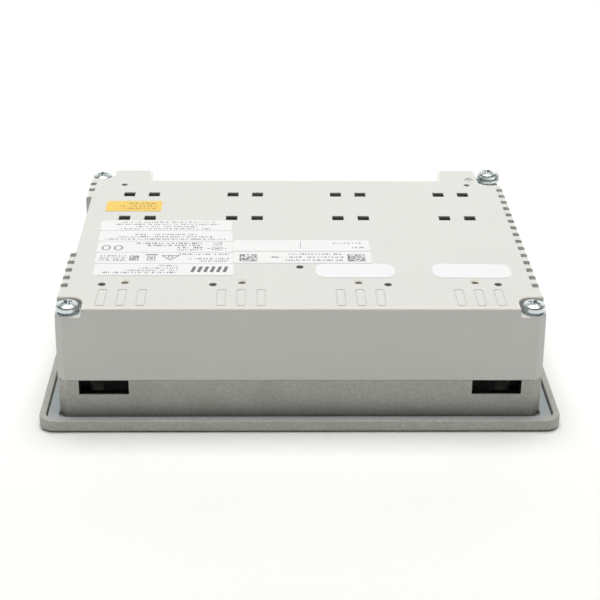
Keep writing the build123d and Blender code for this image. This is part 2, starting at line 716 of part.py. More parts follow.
os.makedirs("parts", exist_ok=True)
for name, make in PARTS.items():
    made = make()
    save(name, Compound(children=made) if isinstance(made, list) else made)
save("touch_cable", flat_cable(TOUCH_CABLE))
save("display_cable", flat_cable(DISPLAY_CABLE))
for index, place in enumerate(LAN_X, 1):
    save(f"lan_socket_{index}", lan_socket(place))
for number in CORNERS:
    save(f"cover_screw_{number}", cover_screw(number))
    save(f"cover_washer_{number}", cover_washer(number))
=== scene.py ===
"""Looks of a panel-mount operator terminal that lies on its front face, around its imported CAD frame."""
import json
import math
import random

import bmesh
import bpy
from mathutils import Matrix, Vector


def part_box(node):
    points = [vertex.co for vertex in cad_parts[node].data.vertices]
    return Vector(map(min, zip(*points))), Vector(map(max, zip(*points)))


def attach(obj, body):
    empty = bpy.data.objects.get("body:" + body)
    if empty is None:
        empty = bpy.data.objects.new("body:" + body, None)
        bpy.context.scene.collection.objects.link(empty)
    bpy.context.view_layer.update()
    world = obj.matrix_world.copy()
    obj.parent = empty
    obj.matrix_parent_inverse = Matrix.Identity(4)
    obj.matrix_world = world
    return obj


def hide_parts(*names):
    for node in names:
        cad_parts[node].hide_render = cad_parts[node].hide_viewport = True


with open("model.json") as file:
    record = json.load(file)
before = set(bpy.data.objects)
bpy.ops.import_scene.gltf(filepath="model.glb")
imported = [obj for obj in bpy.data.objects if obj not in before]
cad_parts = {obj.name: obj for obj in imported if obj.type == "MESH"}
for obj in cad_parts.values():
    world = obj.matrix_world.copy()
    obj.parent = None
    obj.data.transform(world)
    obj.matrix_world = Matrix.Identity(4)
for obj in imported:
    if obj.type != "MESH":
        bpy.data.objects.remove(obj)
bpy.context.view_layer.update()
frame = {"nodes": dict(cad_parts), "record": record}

MM = 0.001
NODES = frame["nodes"]
BODY_OF = {node: body for body, members in frame["record"]["behaviour"]["bodies"].items() for node in members}


# ------------------------------------------------------------------ materials
BEVEL_SAMPLES, OCCLUSION_SAMPLES = 6, 8
# clamp slots, whose walls get painted shade, in millimetres from the middle: both ends along X; back wall and
# mouth along Y
SLOT_X = (61.1, 79.2)
SLOT_Y = (60.2, 66.1, 66.6)
# half sizes of the printed display border and of the window in it, in millimetres
BORDER_HALF = (60.6, 46.2)
WINDOW_HALF = (57.6, 43.2)


class Look:
    """A node material built round one Principled shader, textured in the part's own coordinates."""

    def __init__(self, name, colour, roughness, **sockets):
        self.material = bpy.data.materials.new(name)
        self.material.use_nodes = True
        self.nodes, self.links = self.material.node_tree.nodes, self.material.node_tree.links
        self.shader = self.nodes["Principled BSDF"]
        self.set(self.shader, "Base Color", (*colour, 1.0))
        self.set(self.shader, "Roughness", roughness)
        for socket, value in sockets.items():
            self.set(self.shader, socket.replace("_", " "), value)
        self.place = self.nodes.new("ShaderNodeTexCoord").outputs["Object"]
        self.colour, self.rough, self.height = (*colour, 1.0), roughness, None

    @staticmethod
    def set(node, socket, value):
        """Sets a plain value on a node's input."""
        node.inputs[socket].default_value = value

    def join(self, source, target):
        """Links an output, or sets a plain value."""
        if isinstance(source, bpy.types.NodeSocket):
            self.links.new(source, target)
        else:
            target.default_value = source

    def noise(self, size_mm, detail=3.0, rough=0.55, stretch=None):
        """Noise whose grain is about this many millimetres, from 0 to 1."""
        node = self.nodes.new("ShaderNodeTexNoise")
        self.set(node, "Scale", 1.0 / (size_mm * MM))
        self.set(node, "Detail", detail)
        self.set(node, "Roughness", rough)
        self.links.new(self.stretched(stretch) if stretch else self.place, node.inputs["Vector"])
        return node.outputs["Fac"]

    def stretched(self, stretch):
        """The part's coordinates, scaled along each axis."""
        mapping = self.nodes.new("ShaderNodeMapping")
        mapping.inputs["Scale"].default_value = stretch
        self.links.new(self.place, mapping.inputs["Vector"])
        return mapping.outputs["Vector"]

    def cells(self, size_mm):
        """Distance to the nearest of scattered points, in cells of about this many millimetres."""
        node = self.nodes.new("ShaderNodeTexVoronoi")
        self.set(node, "Scale", 1.0 / (size_mm * MM))
        self.links.new(self.place, node.inputs["Vector"])
        return node.outputs["Distance"]

    def math(self, operation, a, b=0.0):
        """One operation on one or two outputs or plain values."""
        node = self.nodes.new("ShaderNodeMath")
        node.operation = operation
        self.join(a, node.inputs[0])
        self.join(b, node.inputs[1])
        return node.outputs[0]

    def band(self, value, low, high, out_low=0.0, out_high=1.0):
        """Maps low..high of a value to out_low..out_high, clamped."""
        node = self.nodes.new("ShaderNodeMapRange")
        ends = {"From Min": low, "From Max": high, "To Min": out_low, "To Max": out_high}
        for socket, number in ends.items():
            self.set(node, socket, number)
        self.links.new(value, node.inputs["Value"])
        return node.outputs["Result"]

    def mix(self, factor, a, b):
        """Colour a where factor is 0, colour b where it is 1."""
        node = self.nodes.new("ShaderNodeMix")
        node.data_type = "RGBA"
        self.join(factor, node.inputs["Factor"])
        for source, socket in ((a, "A"), (b, "B")):
            self.join((*source[:3], 1.0) if isinstance(source, tuple) else source, node.inputs[socket])
        return node.outputs["Result"]

    def tint(self, factor, colour):
        """Lays a colour over what is there, where factor is 1."""
        self.colour = self.mix(factor, self.colour, colour)
        return self

    def gloss(self, factor, roughness):
        """Moves the roughness to another value where factor is 1."""
        node = self.nodes.new("ShaderNodeMix")
        node.data_type = "FLOAT"
        self.join(factor, node.inputs["Factor"])
        self.join(self.rough, node.inputs["A"])
        self.join(roughness, node.inputs["B"])
        self.rough = node.outputs["Result"]
        return self

    def bump(self, height, depth_mm, strength):
        """Adds relief on top of the relief that is there."""
        node = self.nodes.new("ShaderNodeBump")
        self.set(node, "Distance", depth_mm * MM)
        self.set(node, "Strength", strength)
        self.links.new(height, node.inputs["Height"])
        if self.height is not None:
            self.links.new(self.height, node.inputs["Normal"])
        self.height = node.outputs["Normal"]
        return self

    def soft_edges(self, radius_mm):
        """Rounds the shading of sharp edges."""
        node = self.nodes.new("ShaderNodeBevel")
        node.samples = BEVEL_SAMPLES
        self.set(node, "Radius", radius_mm * MM)
        self.height = node.outputs["Normal"]
        return self

    def painted_crevice_shade(self, colour, reach_mm, amount):
        """Painted shade: darkens corners and recesses by how enclosed they are."""
        node = self.nodes.new("ShaderNodeAmbientOcclusion")
        node.samples = OCCLUSION_SAMPLES
        self.set(node, "Distance", reach_mm * MM)
        return self.tint(self.band(node.outputs["AO"], 0.35, 0.9, amount, 0.0), colour)

    def pale_edges_and_highlight(self, radius_mm, colour, amount):
        """Lays a paler colour in patches along sharp outer and inner edges; on the housing this is a painted
        highlight.
        """
        bevel, geometry = self.nodes.new("ShaderNodeBevel"), self.nodes.new("ShaderNodeNewGeometry")
        bevel.samples = BEVEL_SAMPLES
        self.set(bevel, "Radius", radius_mm * MM)
        dot = self.nodes.new("ShaderNodeVectorMath")
        dot.operation = "DOT_PRODUCT"
        self.links.new(bevel.outputs["Normal"], dot.inputs[0])
        self.links.new(geometry.outputs["Normal"], dot.inputs[1])
        edges = self.band(dot.outputs["Value"], 0.80, 0.98, amount, 0.0)
        patches = self.band(self.noise(3.0, 4.0), 0.35, 0.65, 0.35, 1.0)
        return self.tint(self.math("MULTIPLY", edges, patches), colour)

    def axis(self, name):
        """One of the part's own coordinates, in metres."""
        node = self.nodes.new("ShaderNodeSeparateXYZ")
        self.links.new(self.place, node.inputs[0])
        return node.outputs[name]

    def in_rectangle(self, half_x_mm, half_y_mm):
        """1 inside a rectangle round the middle of the part, seen along Z."""
        across = self.math("LESS_THAN", self.math("ABSOLUTE", self.axis("X")), half_x_mm * MM)
        along = self.math("LESS_THAN", self.math("ABSOLUTE", self.axis("Y")), half_y_mm * MM)
        return self.math("MULTIPLY", across, along)

    def painted_slot_shade(self):
        """1 on the walls of the four clamp slots, a little way in from their mouths: the mask for painted
        shade there.
        """
        near, far = (x * MM for x in SLOT_X)
        back, inner_mouth, outer_mouth = (y * MM for y in SLOT_Y)
        across, inward = (self.math("ABSOLUTE", self.axis(name)) for name in "XY")
        beside = self.math("MULTIPLY", self.math("GREATER_THAN", across, near),
                           self.math("LESS_THAN", across, far))
        depth = self.math("MULTIPLY", self.math("GREATER_THAN", inward, back),
                          self.band(inward, inner_mouth, outer_mouth, 1.0, 0.0))
        return self.math("MULTIPLY", beside, depth)

    def painted_highlight_roundings(self):
        """1 on the roundings between upright and level faces, told by how far they face up: the mask for a
        painted highlight.
        """
        geometry, split = self.nodes.new("ShaderNodeNewGeometry"), self.nodes.new("ShaderNodeSeparateXYZ")
        self.links.new(geometry.outputs["Normal"], split.inputs[0])
        return self.math("MULTIPLY", self.band(split.outputs["Z"], 0.3, 0.45),
                         self.band(split.outputs["Z"], 0.93, 0.98, 1.0, 0.0))

    def done(self):
        """Joins what was built up to the shader, and gives the material."""
        made = {"Base Color": self.colour, "Roughness": self.rough, "Normal": self.height}
        for socket, source in made.items():
            if isinstance(source, bpy.types.NodeSocket):
                self.links.new(source, self.shader.inputs[socket])
        return self.material


def housing_look():
    """Light warm grey moulded plastic with a fine spark-eroded grain, and a painted highlight along its edges
    and roundings.
    """
    look = Look("housing_plastic", (0.66, 0.655, 0.62), 0.5)
    look.soft_edges(0.4)
    look.tint(look.band(look.noise(38.0, 2.0), 0.35, 0.7, 0.0, 0.35), (0.63, 0.625, 0.595))
    look.tint(look.band(look.noise(0.7, 4.0), 0.55, 0.75, 0.0, 0.25), (0.56, 0.555, 0.525))
    # painted highlight: warm pale patches along the sharp edges
    look.pale_edges_and_highlight(0.5, (0.74, 0.70, 0.60), 0.5)
    # painted highlight: pale warm colour on the roundings between top and sides
    look.tint(look.math("MULTIPLY", look.painted_highlight_roundings(), 0.8), (0.90, 0.865, 0.77))
    look.gloss(look.noise(5.0, 3.0), 0.6)
    look.bump(look.noise(0.28, 2.0), 0.05, 0.7).bump(look.noise(14.0, 1.0), 0.25, 0.12)
    return look.done()


def casting_look():
    """Grey die casting with a coarse granular skin, with painted shade in its corners and painted near-black
    shade in its clamp slots.
    """
    look = Look("cast_frame", (0.41, 0.415, 0.375), 0.5, Metallic=0.2)
    look.soft_edges(0.3)
    look.tint(look.band(look.noise(0.9, 5.0, 0.7), 0.38, 0.68), (0.53, 0.53, 0.49))
    look.tint(look.band(look.cells(1.1), 0.0, 0.5, 0.35, 0.0), (0.29, 0.29, 0.26))
    look.tint(look.band(look.noise(16.0, 3.0), 0.45, 0.75, 0.0, 0.5), (0.35, 0.35, 0.31))
    # painted shade in the casting's corners and recesses
    look.painted_crevice_shade((0.16, 0.155, 0.11), 2.0, 0.5)
    # paler colour in patches along the casting's edges
    look.pale_edges_and_highlight(0.5, (0.52, 0.51, 0.43), 0.6)
    # painted shade: the clamp slots' walls made nearly black
    look.tint(look.painted_slot_shade(), (0.003, 0.003, 0.003))
    look.gloss(look.noise(1.5, 3.0), 0.68)
    look.bump(look.noise(0.5, 4.0, 0.65), 0.12, 0.55)
    return look.done()


def scaled(colour, factor, lift=0.0):
    """A colour made lighter or darker, kept below white."""
    return tuple(min(1.0, c * factor + lift) for c in colour)


def foam_look(name, colour):
    """Matt foam with open cells."""
    look = Look(name, colour, 0.85)
    look.tint(look.band(look.cells(0.45), 0.1, 0.6, 0.6, 0.0), scaled(colour, 0.72))
    look.tint(look.band(look.noise(9.0), 0.4, 0.7, 0.0, 0.4), scaled(colour, 0.88))
    look.bump(look.cells(0.4), 0.08, 0.6)
    return look.done()


def label_look(name, colour, roughness, stain=None, **sockets):
    """Printed film, a little wavy, with an optional stain in patches."""
    look = Look(name, colour, roughness, **sockets)
    look.tint(look.band(look.noise(11.0, 4.0), 0.45, 0.75, 0.0, 0.5), scaled(colour, 0.965))
    look.tint(look.band(look.noise(0.25, 2.0), 0.6, 0.8, 0.0, 0.2), scaled(colour, 0.9))
    if stain:
        look.tint(look.band(look.noise(21.0, 3.0), 0.5, 0.8, 0.0, 0.6), stain)
    look.bump(look.noise(0.3, 2.0), 0.01, 0.3).bump(look.noise(7.0, 2.0), 0.05, 0.2)
    return look.done()


def ink_look(name, colour):
    """Thermal print with pale specks."""
    look = Look(name, colour, 0.5)
    look.tint(look.band(look.noise(0.18, 3.0), 0.5, 0.75, 0.0, 0.45), scaled(colour, 1.8, 0.05))
    return look.done()


def plated_look(name, colour, roughness, warm):
    """Bright zinc or nickel: faint blue to straw clouds, dull patches."""
    look = Look(name, colour, roughness, Metallic=1.0)
    look.tint(look.band(look.noise(2.2, 3.0), 0.4, 0.7), warm)
    look.tint(look.band(look.noise(0.35, 4.0), 0.62, 0.85, 0.0, 0.3), scaled(colour, 0.8))
    look.gloss(look.noise(0.8, 4.0), roughness + 0.1)
    look.bump(look.noise(0.35, 2.0), 0.001, 0.2)
    return look.done()


def sheet_metal_look(name, colour, roughness):
    """Rolled sheet: long faint lines along X and small spangles."""
    look = Look(name, colour, roughness, Metallic=0.9)
    look.soft_edges(0.15)
    look.tint(look.band(look.cells(5.0), 0.1, 0.8, 0.0, 0.45), scaled(colour, 0.8))
    lines = look.noise(1.2, 3.0, stretch=(0.06, 1, 1))
    look.tint(look.band(lines, 0.4, 0.7, 0.0, 0.5), scaled(colour, 1.12))
    look.gloss(look.noise(0.8, 3.0, stretch=(0.08, 1, 1)), roughness + 0.18)
    look.bump(look.noise(0.3, 2.0, stretch=(0.1, 1, 1)), 0.01, 0.5)
    return look.done()


def resin_look(name, colour, roughness=0.45, **sockets):
    """Small moulded plastic or resin parts."""
    look = Look(name, colour, roughness, **sockets)
    look.soft_edges(0.12)
    look.tint(look.band(look.noise(3.0, 4.0), 0.4, 0.75, 0.0, 0.5), scaled(colour, 1.25, 0.01))
    look.gloss(look.noise(1.0, 3.0), roughness + 0.15)
    look.bump(look.noise(0.2, 2.0), 0.02, 0.4)
    return look.done()


def board_look():
    """Green solder mask over faint copper tracks, with plated pads."""
    look = Look("circuit_board", (0.012, 0.10, 0.045), 0.32)
    tracks = look.nodes.new("ShaderNodeTexBrick")
    for socket, value in (("Scale", 1.0 / (9.0 * MM)), ("Mortar Size", 0.035), ("Brick Width", 1.3),
                          ("Row Height", 0.16), ("Mortar Smooth", 0.1)):
        look.set(tracks, socket, value)
    look.links.new(look.place, tracks.inputs["Vector"])
    lines = look.math("MULTIPLY", tracks.outputs["Fac"], look.band(look.noise(8.0, 2.0), 0.45, 0.55))
    look.tint(lines, (0.03, 0.19, 0.085))
    holes = look.band(look.cells(2.3), 0.10, 0.14, 1.0, 0.0)
    look.tint(holes, (0.45, 0.42, 0.30))
    look.gloss(look.noise(2.0), 0.42)
    look.bump(lines, 0.03, 0.6).bump(look.noise(0.4), 0.01, 0.4)
    return look.done()


def overlay_look():
    """Satin grey printed film, with the dark window of the switched-off display."""
    look = Look("overlay_film", (0.60, 0.60, 0.575), 0.42)
    look.tint(look.band(look.noise(30.0), 0.4, 0.7, 0.0, 0.3), (0.56, 0.56, 0.54))
    border = look.in_rectangle(*BORDER_HALF)
    look.tint(border, (0.20, 0.21, 0.21))
    window = look.in_rectangle(*WINDOW_HALF)
    look.tint(window, (0.012, 0.014, 0.016))
    look.gloss(window, 0.16)
    look.bump(look.noise(0.22, 2.0), 0.012, 0.35)
    return look.done()


def glass_look():
    """Clear touch glass with faint smears."""
    look = Look("touch_glass", (0.85, 0.90, 0.89), 0.03, Transmission_Weight=1.0, IOR=1.5)
    look.gloss(look.band(look.noise(12.0, 4.0), 0.5, 0.8, 0.0, 0.3), 0.12)
    return look.done()


def display_look():
    """Black polariser over faint pixel rows."""
    look = Look("display_cell", (0.010, 0.011, 0.013), 0.12)
    rows = look.nodes.new("ShaderNodeTexWave")
    look.set(rows, "Scale", 1.0 / (1.4 * MM))
    look.links.new(look.place, rows.inputs["Vector"])
    look.tint(look.band(rows.outputs["Fac"], 0.6, 1.0, 0.0, 0.6), (0.018, 0.02, 0.024))
    look.gloss(look.noise(9.0, 4.0), 0.2)
    return look.done()


def cable_look():
    """Amber film with its copper tracks running along Y and Z."""
    look = Look("flex_cable", (0.50, 0.24, 0.045), 0.28)
    rows = look.nodes.new("ShaderNodeTexWave")
    look.set(rows, "Scale", 1.0 / (3.1 * MM))
    look.links.new(look.place, rows.inputs["Vector"])
    look.tint(look.band(rows.outputs["Fac"], 0.45, 0.55), (0.62, 0.34, 0.10))
    look.tint(look.band(look.noise(5.0), 0.4, 0.7, 0.0, 0.4), (0.36, 0.16, 0.03))
    look.bump(rows.outputs["Fac"], 0.02, 0.4)
    return look.done()


LOOKS = {
    "housing": housing_look(),
    "casting": casting_look(),
    "gasket": foam_look("panel_gasket", (0.47, 0.51, 0.515)),
    "foam": foam_look("black_foam", (0.03, 0.03, 0.032)),
    "overlay_film": overlay_look(),
    "glass": glass_look(),
    "dark_glass": display_look(),
    "sheet_steel": sheet_metal_look("zinc_coated_sheet", (0.60, 0.61, 0.61), 0.32),
    "zinc_plate": plated_look("zinc_plating", (0.68, 0.76, 0.775), 0.22, (0.76, 0.79, 0.76)),
    "brass": plated_look("brass_standoffs", (0.70, 0.54, 0.24), 0.3, (0.62, 0.44, 0.18)),
    "circuit_board": board_look(),
    "black_resin": resin_look("black_resin", (0.018, 0.018, 0.02), 0.5),
    "aluminium": sheet_metal_look("extruded_aluminium", (0.72, 0.73, 0.74), 0.36),
    "can_aluminium": plated_look("capacitor_cans", (0.66, 0.67, 0.68), 0.3, (0.60, 0.61, 0.63)),
    "ferrite": resin_look("ferrite", (0.045, 0.045, 0.048), 0.6),
    "black_plastic": resin_look("black_plastic", (0.02, 0.02, 0.021), 0.42),
    "white_plastic": resin_look("white_plastic", (0.78, 0.77, 0.72), 0.4),
    "green_plastic": resin_look("green_plastic", (0.03, 0.24, 0.08), 0.4),
    "nickel": plated_look("nickel_shells", (0.66, 0.64, 0.60), 0.24, (0.72, 0.70, 0.64)),
    "tinned": plated_look("tinned_pins", (0.70, 0.70, 0.68), 0.3, (0.62, 0.62, 0.62)),
    "gold_contact": plated_look("gold_contacts", (0.83, 0.60, 0.22), 0.22, (0.88, 0.66, 0.30)),
    "lamp_plastic": resin_look("lamp_windows", (0.48, 0.62, 0.22), 0.25, Transmission_Weight=0.4),
    "flex_cable": cable_look(),
    "label_white": label_look("rating_label", (0.77, 0.78, 0.765), 0.45),
    "label_gloss": label_look("blank_label", (0.78, 0.79, 0.785), 0.25, Coat_Weight=0.4, Coat_Roughness=0.1),
    "label_yellow": label_look("seal_label", (0.80, 0.55, 0.085), 0.45, (0.84, 0.66, 0.22)),
}
INK = ink_look("label_ink", (0.13, 0.13, 0.15))
PALE_INK = ink_look("pale_label_ink", (0.22, 0.22, 0.24))
SEAL_INK = ink_look("seal_ink", (0.42, 0.26, 0.05))

SLOT_OF = {part["node"]: part["material_slot"] for part in frame["record"]["subparts"]}


def dress(piece, slot):
    """Gives a piece the look of a material slot."""
    piece.data.materials.clear()
    piece.data.materials.append(LOOKS[slot])


for node_name, node_object in NODES.items():
    dress(node_object, SLOT_OF[node_name])


# ------------------------------------------------------------------ mesh helpers
MERGE_MM = 1e-5
SHARP_DEG = 32
ROUND_SEGMENTS = 72                     # round heads and washers


def to_object(name, bm, material, body, smooth=True):
    """Turns a bmesh in millimetres into a piece that rides on a body."""
    bmesh.ops.remove_doubles(bm, verts=bm.verts, dist=MERGE_MM)
    bmesh.ops.recalc_face_normals(bm, faces=bm.faces)
    mesh = bpy.data.meshes.new(name)
    bm.to_mesh(mesh)
    bm.free()
    mesh.transform(Matrix.Scale(MM, 4))
    mesh.materials.append(material)
    piece = bpy.data.objects.new(name, mesh)
    bpy.context.scene.collection.objects.link(piece)
    if smooth:
        mesh.shade_smooth()
        mesh.set_sharp_from_angle(angle=math.radians(SHARP_DEG))
    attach(piece, body)
    return piece


def add_box(bm, x0, x1, y0, y1, z0, z1, turn=None):
    """Adds a closed box; turn is an optional matrix applied to its corners."""
    corners = [Vector((x, y, z)) for z in (z0, z1) for y in (y0, y1) for x in (x0, x1)]
    verts = [bm.verts.new(turn @ c if turn else c) for c in corners]
    for ring in ((0, 2, 3, 1), (4, 5, 7, 6), (0, 1, 5, 4), (2, 6, 7, 3), (0, 4, 6, 2), (1, 3, 7, 5)):
        bm.faces.new([verts[i] for i in ring])


def add_lathe(bm, profile, x, y, z, segments):
    """Turns a profile of (radius, height) round an upright axis; ends at radius 0 are closed."""
    rings = []
    for radius, height in profile:
        if radius < 1e-6:
            rings.append([bm.verts.new((x, y, z + height))])
            continue
        rings.append([bm.verts.new((x + radius * math.cos(2 * math.pi * k / segments),
                                    y + radius * math.sin(2 * math.pi * k / segments), z + height))
                      for k in range(segments)])
    for low, high in zip(rings, rings[1:]):
        for k in range(segments):
            after = (k + 1) % segments
            if len(low) == 1:
                bm.faces.new((low[0], high[after], high[k]))
            elif len(high) == 1:
                bm.faces.new((low[k], low[after], high[0]))
            else:
                bm.faces.new((low[k], low[after], high[after], high[k]))


def middle_of(node):
    """The middle of a CAD node's box, in millimetres."""
    low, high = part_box(node)
    return (low + high) / 2 / MM


def top_of(node):
    """The height of a CAD node's top, in millimetres."""
    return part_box(node)[1].z / MM


# ------------------------------------------------------------------ cover screws
# all in millimetres and degrees
HEAD_R, HEAD_T = 4.05, 3.1
HEAD_FOOT, RIM_LOW, RIM_HIGH = 0.5, 0.42, 1.15         # bevel under the head, foot and top of its rim
CROWN_R, RIM_ROUND = 8.0, 1.0
CROWN_STEPS = 8
CROSS_LOW, CROSS_HIGH = (0.8, 0.34, -2.2), (2.55, 0.62, 0.4)     # half length, half width, height
CONE = [(0.0, -2.6), (0.5, -2.3), (1.25, 0.4), (0.0, 0.4)]
THREAD_PITCH, THREAD_DEPTH = 0.7, 0.3
THREAD_LENGTH = 22.0
THREAD_SEGMENTS, RINGS_PER_PITCH = 28, 7
SHANK_R, POINT_TAPER = 1.94, 0.45
HAIR = 0.001                            # keeps the plain shank's ends off its neighbours' faces
CROSS_TURN = {1: 34.0, 2: -28.0, 3: 12.0, 4: 60.0}     # how each recess happens to stand


def head_profile():
    """Pan head from the middle of its underside up over the rim to the crown."""
    points = [(0.0, 0.0), (HEAD_R - HEAD_FOOT, 0.0), (HEAD_R, RIM_LOW)]
    crown_z = HEAD_T - CROWN_R
    # radius and height at which the rim's rounding meets the crown
    meet_r = HEAD_R - RIM_ROUND * 0.75
    meet_z = crown_z + math.sqrt(CROWN_R ** 2 - meet_r ** 2)
    for k in range(CROWN_STEPS + 1):
        t = k / CROWN_STEPS * math.pi / 2
        points.append((meet_r + (HEAD_R - meet_r) * math.cos(t),
                       RIM_HIGH + (meet_z - RIM_HIGH) * math.sin(t)))
    for k in range(1, CROWN_STEPS + 1):
        r = meet_r * (1 - k / CROWN_STEPS)
        points.append((r, crown_z + math.sqrt(CROWN_R ** 2 - r ** 2)))
    return points


def recess_cutter(x, y, top, turn_deg):
    """A tapered cross."""
    bm = bmesh.new()
    for quarter in (0, 90):
        turn = Matrix.Translation((x, y, 0)) @ Matrix.Rotation(math.radians(turn_deg + quarter), 4, "Z")
        ring = []
        for reach, half, z in (CROSS_LOW, CROSS_HIGH):
            ring.append([bm.verts.new(turn @ Vector((a * reach, b * half, top + z))) for a, b in
                         ((-1, -1), (1, -1), (1, 1), (-1, 1))])
        low, high = ring
        bm.faces.new(low[::-1])
        bm.faces.new(high)
        for k in range(4):
            bm.faces.new((low[k], low[(k + 1) % 4], high[(k + 1) % 4], high[k]))
    return bm


def cone_cutter(x, y, top):
    """The conical middle of the cross."""
    bm = bmesh.new()
    add_lathe(bm, CONE, x, y, top, 24)
    return bm


def plain_object(bm):
    """Turns a bmesh into an object for the boolean cuts, still in millimetres."""
    bmesh.ops.recalc_face_normals(bm, faces=bm.faces)
    mesh = bpy.data.meshes.new("cutter")
    bm.to_mesh(mesh)
    bm.free()
    piece = bpy.data.objects.new("cutter", mesh)
    bpy.context.scene.collection.objects.link(piece)
    return piece


def carve(piece, cutters):
    """Cuts each cutter out of the piece's own mesh, in millimetres, and removes the cutters."""
    for cutter in cutters:
        modifier = piece.modifiers.new("cut", "BOOLEAN")
        modifier.operation, modifier.solver, modifier.object = "DIFFERENCE", "EXACT", cutter
        modifier.use_self = True
    bpy.context.view_layer.update()
    cut = bpy.data.meshes.new_from_object(piece.evaluated_get(bpy.context.evaluated_depsgraph_get()))
    piece.modifiers.clear()
    old, piece.data = piece.data, cut
    bpy.data.meshes.remove(old)
    for cutter in cutters:
        bpy.data.objects.remove(cutter)
    return piece


def thread_rings(bm, x, y, z_top, z_low):
    """A screw thread: rings of points whose radius rises and falls once a turn."""
    count = int((z_top - z_low) / THREAD_PITCH * RINGS_PER_PITCH)
    rings = []
    for i in range(count + 1):
        z = z_low + (z_top - z_low) * i / count
        # the groove runs out over the last millimetre, and is shallow at the point
        fade = min(1.0, z_top - z, 0.25 + (z - z_low) / 1.6)
        taper = POINT_TAPER * max(0.0, 1.0 - (z - z_low) / 1.2)
        ring = []
        for k in range(THREAD_SEGMENTS):
            angle = 2 * math.pi * k / THREAD_SEGMENTS
            phase = (z / THREAD_PITCH + k / THREAD_SEGMENTS) % 1.0
            ridge = 1.0 - abs(2.0 * phase - 1.0)
            depth = THREAD_DEPTH * (1.0 - ridge) * max(0.0, fade)
            radius = SHANK_R - depth - taper
            ring.append(bm.verts.new((x + radius * math.cos(angle), y + radius * math.sin(angle), z)))
        rings.append(ring)
    for low, high in zip(rings, rings[1:]):
        for k in range(THREAD_SEGMENTS):
            after = (k + 1) % THREAD_SEGMENTS
            bm.faces.new((low[k], low[after], high[after], high[k]))
    bm.faces.new(rings[0][::-1])
    bm.faces.new(rings[-1])


def cover_screw(number):
    """Pan-head screw with a cross recess and a cut thread."""
    node = f"cover_screw_{number}"
    middle, top = middle_of(node), top_of(node)
    x, y, seat = middle.x, middle.y, top - HEAD_T
    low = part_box(node)[0].z / MM
    bm = bmesh.new()
    add_lathe(bm, head_profile(), x, y, seat, ROUND_SEGMENTS)
    head = carve(plain_object(bm), [plain_object(recess_cutter(x, y, top, CROSS_TURN[number])),
                                    plain_object(cone_cutter(x, y, top))])
    bm = bmesh.new()
    bm.from_mesh(head.data)
    bpy.data.objects.remove(head)
    thread_top = low + THREAD_LENGTH
    thread_rings(bm, x, y, thread_top, low)
    plain = seat - thread_top - 2 * HAIR
    add_lathe(bm, [(0.0, 0.0), (SHANK_R, 0.0), (SHANK_R, plain), (0.0, plain)],
              x, y, thread_top + HAIR, THREAD_SEGMENTS)
    piece = to_object(f"pan_head_screw_{number}", bm, LOOKS["zinc_plate"], f"screw_{number}")
    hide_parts(node)


FLAT_T, FLAT_R, SPRING_R = 0.42, 4.35, 3.75
WASHER_GAP = 0.01                       # air on each side of the pair of washers
WASHER_BORE = 2.2
SPLIT_HALF, SPLIT_LEAN = 0.14, 0.4      # the spring washer's slanted cut


def ring_profile(low, high, outer, chamfer):
    """A washer's section: flat faces, small chamfers on its outer edge."""
    return [(WASHER_BORE, low), (outer - chamfer, low), (outer, low + chamfer), (outer, high - chamfer),
            (outer - chamfer, high), (WASHER_BORE, high), (WASHER_BORE, low)]


def washers(number):
    """A flat washer and a split spring washer under each head."""
    node, body = f"cover_washer_{number}", f"washer_{number}"
    middle, low = middle_of(node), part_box(node)[0].z / MM
    thick = top_of(node) - low
    bm = bmesh.new()
    add_lathe(bm, ring_profile(WASHER_GAP, FLAT_T, FLAT_R, 0.08), middle.x, middle.y, low, ROUND_SEGMENTS)
    flat = to_object(f"flat_washer_{number}", bm, LOOKS["zinc_plate"], body)
    bm = bmesh.new()
    add_lathe(bm, ring_profile(FLAT_T + WASHER_GAP, thick - WASHER_GAP, SPRING_R, 0.06),
              middle.x, middle.y, low, ROUND_SEGMENTS)
    spring = to_object(f"spring_washer_{number}", bm, LOOKS["zinc_plate"], body)
    cutter = bmesh.new()
    turn = Matrix.Translation(middle) @ Matrix.Rotation(math.radians(200 + 70 * number), 4, "Z")
    skew = turn @ Matrix.Shear("XY", 4, (0.0, SPLIT_LEAN))
    add_box(cutter, 1.5, 5.0, -SPLIT_HALF, SPLIT_HALF, -1.0, 1.0, skew)
    spring.data.transform(Matrix.Scale(1 / MM, 4))
    carve(spring, [plain_object(cutter)])
    spring.data.transform(Matrix.Scale(MM, 4))
    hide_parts(node)


for screw_number in CROSS_TURN:
    cover_screw(screw_number)
    washers(screw_number)


# ------------------------------------------------------------------ label printing
INK_T = 0.012
LIFT = 0.001                            # air between a label and its ink
MARK_ASPECT = 0.62                      # width of a mark's place over its height
CODE_CELLS = 14


